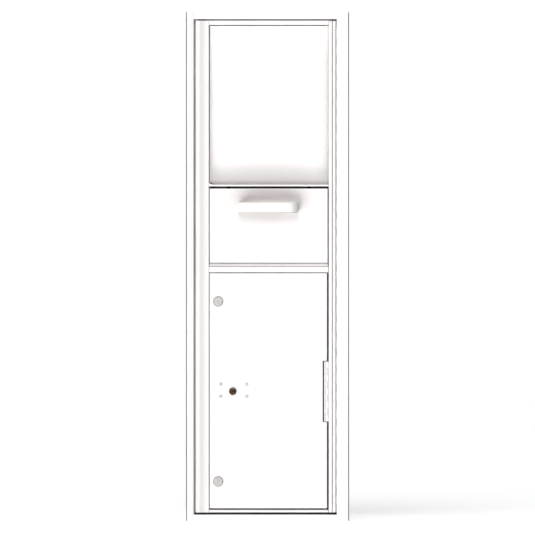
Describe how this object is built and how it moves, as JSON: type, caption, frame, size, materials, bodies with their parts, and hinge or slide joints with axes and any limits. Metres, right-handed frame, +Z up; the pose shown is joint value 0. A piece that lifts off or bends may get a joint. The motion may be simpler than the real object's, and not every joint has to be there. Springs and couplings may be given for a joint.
{
  "type": "parcel drop box",
  "caption": "Tall recessed parcel drop box: trimmed cabinet, hinged frame door with a coved recess, pull-down hopper with a bar handle and a locked collection door.",
  "frame": {"origin": "mid-width on the wall's face, where the back of the trim rests, level with the cabinet's underside", "axes": "+Z up, the front faces -Y and +Y goes into the wall; +X is to the right as seen from the front"},
  "size_m": [0.477, 0.4768, 1.488],
  "materials": {
    "white_powder_coat": "fine textured white powder coat on steel sheet",
    "zinc_steel": "bright zinc plate",
    "lock_bronze": "dark bronze, worn bright on the edges",
    "black_rubber": "matt moulded rubber"
  },
  "bodies": {
    "cabinet": {"cabinet_left_panel": "white_powder_coat", "cabinet_right_panel": "white_powder_coat", "cabinet_top_panel": "white_powder_coat", "cabinet_bottom_panel": "white_powder_coat", "cabinet_back_panel": "white_powder_coat", "cabinet_shelf": "white_powder_coat", "trim_left": "white_powder_coat", "trim_right": "white_powder_coat", "trim_top": "white_powder_coat", "trim_bottom": "white_powder_coat", "master_hinge_cabinet_leaf": "white_powder_coat", "master_hinge_pin": "zinc_steel", "master_latch_keeper": "zinc_steel"},
    "master_door": {"master_hinge_door_leaf": "white_powder_coat", "left_stile": "white_powder_coat", "right_stile": "white_powder_coat", "bottom_rail": "white_powder_coat", "middle_rail": "white_powder_coat", "top_rail": "white_powder_coat", "recess_panel": "white_powder_coat", "recess_left_wall": "white_powder_coat", "recess_right_wall": "white_powder_coat", "bin_left_cheek": "white_powder_coat", "bin_right_cheek": "white_powder_coat", "fishing_guard": "white_powder_coat", "hopper_bumper_left": "black_rubber", "hopper_bumper_right": "black_rubber", "hopper_spring_left": "zinc_steel", "hopper_spring_right": "zinc_steel", "hopper_hinge_rail_leaf": "white_powder_coat", "hopper_hinge_pin": "zinc_steel", "access_hinge_frame_leaf": "white_powder_coat", "access_hinge_pin": "zinc_steel", "latch_keeper_lower": "zinc_steel", "latch_keeper_middle": "zinc_steel", "latch_keeper_upper": "zinc_steel", "master_latch_plate": "zinc_steel", "master_latch_pivot": "zinc_steel"},
    "hopper_door": {"hopper_door_panel": "white_powder_coat", "hopper_handle": "white_powder_coat", "handle_screw_left": "zinc_steel", "handle_screw_right": "zinc_steel", "hopper_left_wing": "white_powder_coat", "hopper_right_wing": "white_powder_coat", "hopper_tray": "white_powder_coat", "hopper_hinge_door_leaf": "white_powder_coat"},
    "access_door": {"access_door_panel": "white_powder_coat", "access_door_stiffener": "white_powder_coat", "access_hinge_door_leaf": "white_powder_coat", "latch_guide_lower": "zinc_steel", "latch_guide_upper": "zinc_steel", "latch_nut_lower": "zinc_steel", "latch_nut_upper": "zinc_steel", "lock_body": "lock_bronze", "lock_support_plate": "zinc_steel", "lock_nut": "zinc_steel"},
    "lock_plug": {"lock_plug": "lock_bronze", "lock_cam": "zinc_steel"},
    "latch_bar": {"latch_bar": "zinc_steel"},
    "master_latch": {"master_latch_lever": "zinc_steel"}
  },
  "joints": [
    {"name": "master_door_hinge", "type": "hinge", "parent": "cabinet", "child": "master_door", "pos_m": [0.1958, 0.0014, 0], "axis": [0, 0, 1], "range_deg": [0, 90]},
    {"name": "hopper_hinge", "type": "hinge", "parent": "master_door", "child": "hopper_door", "pos_m": [0, 0.0014, 0.7318], "axis": [1, 0, 0], "range_deg": [0, 50], "stiffness_Nm_per_rad": 2, "springref_deg": -28.65, "deforming": ["hopper_spring_left", "hopper_spring_right"]},
    {"name": "access_door_hinge", "type": "hinge", "parent": "master_door", "child": "access_door", "pos_m": [0.1734, 0.001, 0], "axis": [0, 0, 1], "range_deg": [0, 90]},
    {"name": "lock_turn", "type": "hinge", "parent": "access_door", "child": "lock_plug", "pos_m": [-0.1013, 0, 0.362], "axis": [0, 1, 0], "range_deg": [0, 90]},
    {"name": "latch_slide", "type": "slide", "parent": "access_door", "child": "latch_bar", "axis": [0, 0, 1], "range_m": [0, 0.03]},
    {"name": "master_latch_turn", "type": "hinge", "parent": "master_door", "child": "master_latch", "pos_m": [-0.188, 0, 0.545], "axis": [0, 1, 0], "range_deg": [0, 90]}
  ],
  "couplings": [
    {"joint": "lock_turn", "follows": "latch_slide", "rad_per_m": 52.36}
  ]
}
